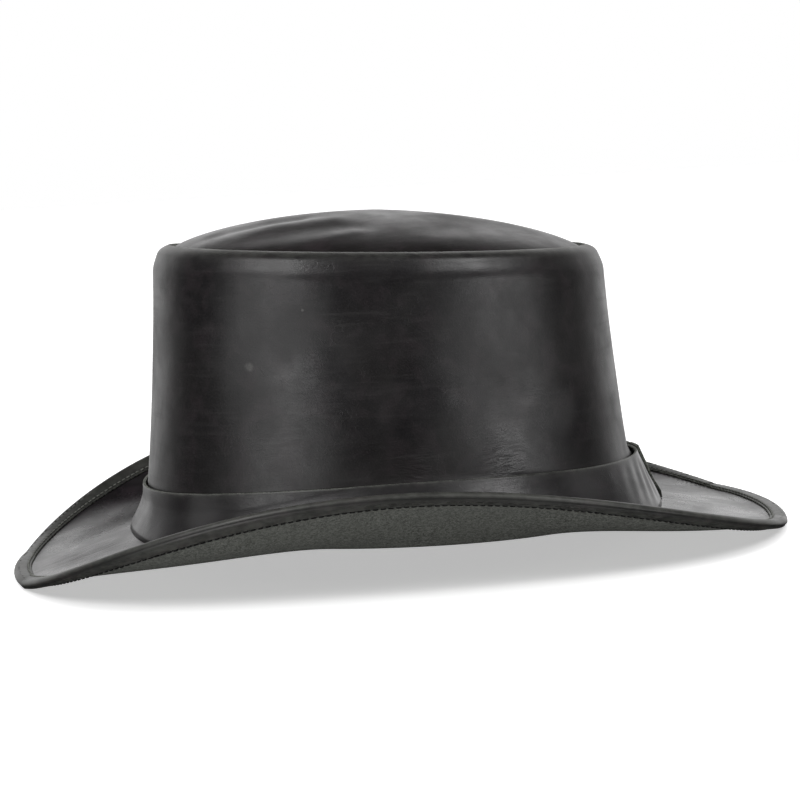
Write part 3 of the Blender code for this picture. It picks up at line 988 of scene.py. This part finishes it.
def stitch_shape():
    """One stitch along X: a short thread with rounded ends."""
    points = []
    sections = ((-0.50, 0.25), (-0.42, 0.75), (-0.2, 1.0), (0.2, 1.0), (0.42, 0.75), (0.50, 0.25))
    for along, size in sections:
        for index in range(STITCH_SIDES):
            turn = math.tau * index / STITCH_SIDES
            radius = size * STITCH_RADIUS
            points.append((along * STITCH_LENGTH, math.cos(turn) * radius,
                           math.sin(turn) * radius * STITCH_FLATNESS))
    faces = []
    for row in range(len(sections) - 1):
        low, high = row * STITCH_SIDES, (row + 1) * STITCH_SIDES
        for index in range(STITCH_SIDES):
            after = (index + 1) % STITCH_SIDES
            faces.append((low + index, low + after, high + after, high + index))
    faces.append(tuple(range(STITCH_SIDES))[::-1])
    faces.append(tuple(range(len(points) - STITCH_SIDES, len(points))))
    return np.array(points), faces


def build_stitches(name, side, material):
    """Stitches along the binding's inner edge, over the brim with side 1 and under it with -1."""
    shape, shape_faces = stitch_shape()
    fine, counts = stitch_counts(side)
    angle = np.interp(np.arange(round(counts[-1])), counts, fine)
    middle, share = stitch_line(angle, side)
    along = stitch_line(angle + STEP, side)[0] - stitch_line(angle - STEP, side)[0]
    along /= np.linalg.norm(along, axis=1, keepdims=True)
    up = normals(brim, angle, share, side)
    across = np.cross(up, along)
    slant = STITCH_SLANT * wave(51, angle, 0, 700, 1, 6)[:, None]
    along, across = along + across * slant, across - along * slant
    axes = np.stack((along, across, up), axis=1)
    points = (middle[:, None, :] + shape @ axes).reshape(-1, 3)
    faces = [tuple(base + corner for corner in face)
             for base in range(0, len(points), len(shape)) for face in shape_faces]
    mesh = bpy.data.meshes.new(name)
    mesh.from_pydata(points.tolist(), [], faces)
    mesh.materials.append(material)
    mesh.shade_smooth()
    mesh.update()
    piece = bpy.data.objects.new(name, mesh)
    bpy.context.scene.collection.objects.link(piece)
    return piece


# Stage and light

def build_stage():
    mesh = bpy.data.meshes.new("floor")
    corners = [(x * FLOOR_HALF, y * FLOOR_HALF, 0) for x, y in ((-1, -1), (1, -1), (1, 1), (-1, 1))]
    mesh.from_pydata(corners, [], [(0, 1, 2, 3)])
    n = new_nodes("pale_floor")
    tone = n.blend(n.span(n.noise(3, 2, 0.5), 0.3, 0.7), *FLOOR_TONES)
    shader = n.tree.nodes["Principled BSDF"]
    n.link(tone, shader.inputs["Base Color"])
    shader.inputs["Roughness"].default_value = 0.8
    shader.inputs["Specular IOR Level"].default_value = 0.1
    shader.inputs["Emission Color"].default_value = (1, 1, 1, 1)
    shader.inputs["Emission Strength"].default_value = FLOOR_GLOW
    mesh.materials.append(n.owner)
    floor = bpy.data.objects.new("floor", mesh)
    floor.location.z = -FLOOR_DROP
    floor.visible_glossy = False
    bpy.context.scene.collection.objects.link(floor)


def softbox(name, azimuth, elevation, width, height, power):
    """Area light aimed at the middle of the hat, azimuth from +X towards +Y."""
    light = bpy.data.lights.new(name, "AREA")
    light.shape = "RECTANGLE"
    light.size, light.size_y, light.energy = width, height, power
    lamp = bpy.data.objects.new(name, light)
    turn, rise = math.radians(azimuth), math.radians(elevation)
    away = Vector((math.cos(rise) * math.cos(turn), math.cos(rise) * math.sin(turn), math.sin(rise)))
    lamp.location = Vector((0, 0, LAMP_HEIGHT)) + away * LAMP_DISTANCE
    lamp.rotation_euler = away.to_track_quat("Z", "Y").to_euler()
    lamp.visible_camera = False
    bpy.context.scene.collection.objects.link(lamp)


def build_world():
    """Seen directly the studio is white. The hat meets a white wall low behind it, the rest is dark."""
    world = bpy.data.worlds.new("studio")
    bpy.context.scene.world = world
    n = Nodes(world)
    direction = n.place.outputs["Generated"]
    split = n.add("ShaderNodeSeparateXYZ")
    n.link(direction, split.inputs["Vector"])
    height = split.outputs["Z"]
    facing = n.add("ShaderNodeVectorMath", operation="DOT_PRODUCT")
    n.link(direction, facing.inputs[0])
    facing.inputs[1].default_value = (-math.cos(VIEW_TURN), -math.sin(VIEW_TURN), 0)
    behind = n.span(facing.outputs["Value"], WALL_TURN, WALL_TURN + WALL_FADE,
                    0, WHITE_WALL - DARK_WALL)
    low = n.span(height, WALL_TOP, WALL_TOP - WALL_FADE)
    raised = n.span(height, *WALL_FOOT)
    wall_light = n.maths("MULTIPLY", behind, n.maths("MULTIPLY", low, raised))
    wall_light = n.maths("ADD", wall_light, DARK_WALL)
    path = n.add("ShaderNodeLightPath")
    strength = n.add("ShaderNodeMix")
    n.link(path.outputs["Is Camera Ray"], strength.inputs[0])
    n.link(wall_light, strength.inputs[2])
    strength.inputs[3].default_value = 1.0
    shade = n.tree.nodes["Background"]
    shade.inputs["Color"].default_value = (1, 1, 1, 1)
    n.link(strength.outputs[0], shade.inputs["Strength"])


def build_lights():
    build_world()
    for lamp in rows(LAMP_COLUMNS, LAMPS):
        softbox(**lamp)
    overhead = bpy.data.lights.new("overhead", "SUN")
    overhead.energy = OVERHEAD_POWER
    overhead.angle = OVERHEAD_ANGLE
    lamp = bpy.data.objects.new("overhead", overhead)
    lamp.visible_glossy = False
    bpy.context.scene.collection.objects.link(lamp)
    bpy.context.scene.view_settings.view_transform = "Standard"


def main():
    place_camera()
    # The crown and band finishes carry painted highlight patches besides their own marks
    crown = leather("crown_wall_finish", (0.0060, 0.0052, 0.0060), (0.0100, 0.0090, 0.0090), 0.38,
                    painted_highlights=wall_marks(CROWN_PAINTED_HIGHLIGHTS), wrinkles=wall_marks(CROWN_WRINKLES),
                    spots=wall_marks(CROWN_SPOTS))
    tip = leather("crown_tip_finish", (0.0070, 0.006, 0.006), (0.0122, 0.011, 0.011), 0.37)
    brim_top = leather("brim_finish", (0.008, 0.0068, 0.0076), (0.014, 0.0124, 0.0132), 0.30,
                       streak=BRIM_STREAK, wrinkles=brim_marks(BRIM_CREASES), ripple=BRIM_RIPPLE)
    edge = leather("binding_finish", (0.009, 0.009, 0.0084), (0.016, 0.016, 0.0145), 0.40,
                   streak=BINDING_STREAK)
    band = leather("band_finish", (0.0068, 0.0060, 0.0066), (0.0115, 0.0105, 0.011), 0.34,
                   painted_highlights=wall_marks(BAND_PAINTED_HIGHLIGHTS))
    flesh = suede("brim_suede", (0.022, 0.023, 0.020), (0.088, 0.091, 0.082))
    lining = suede("crown_flesh_side", (0.014, 0.014, 0.013), (0.046, 0.045, 0.042))
    cut = raw_edge("cut_edge", (0.030, 0.032, 0.027), (0.15, 0.155, 0.135))
    # The top thread is painted mid-grey, though it is the same black thread as the under thread: a
    # painted highlight of the grazing light on it
    top_thread_painted_highlight = thread("top_thread_painted_highlight", (0.050, 0.051, 0.047), (0.17, 0.175, 0.155))
    under_thread = thread("under_thread", (0.002, 0.002, 0.002), (0.006, 0.006, 0.006))
    dress(build_crown_wall(crown, lining, cut), "crown_leather", "crown_wall")
    dress(build_crown_tip(tip, lining), "tip_leather", "crown_tip")
    dress(build_brim(brim_top, flesh, cut), "brim_leather", "brim")
    dress(build_binding(edge, cut), "binding_leather", "brim_binding")
    dress(build_band(band, lining, cut), "band_leather", "hat_band")
    dress(build_stitches("top_stitches", 1, top_thread_painted_highlight), "binding_leather")
    dress(build_stitches("under_stitches", -1, under_thread), "binding_leather")
    build_stage()
    build_lights()


main()
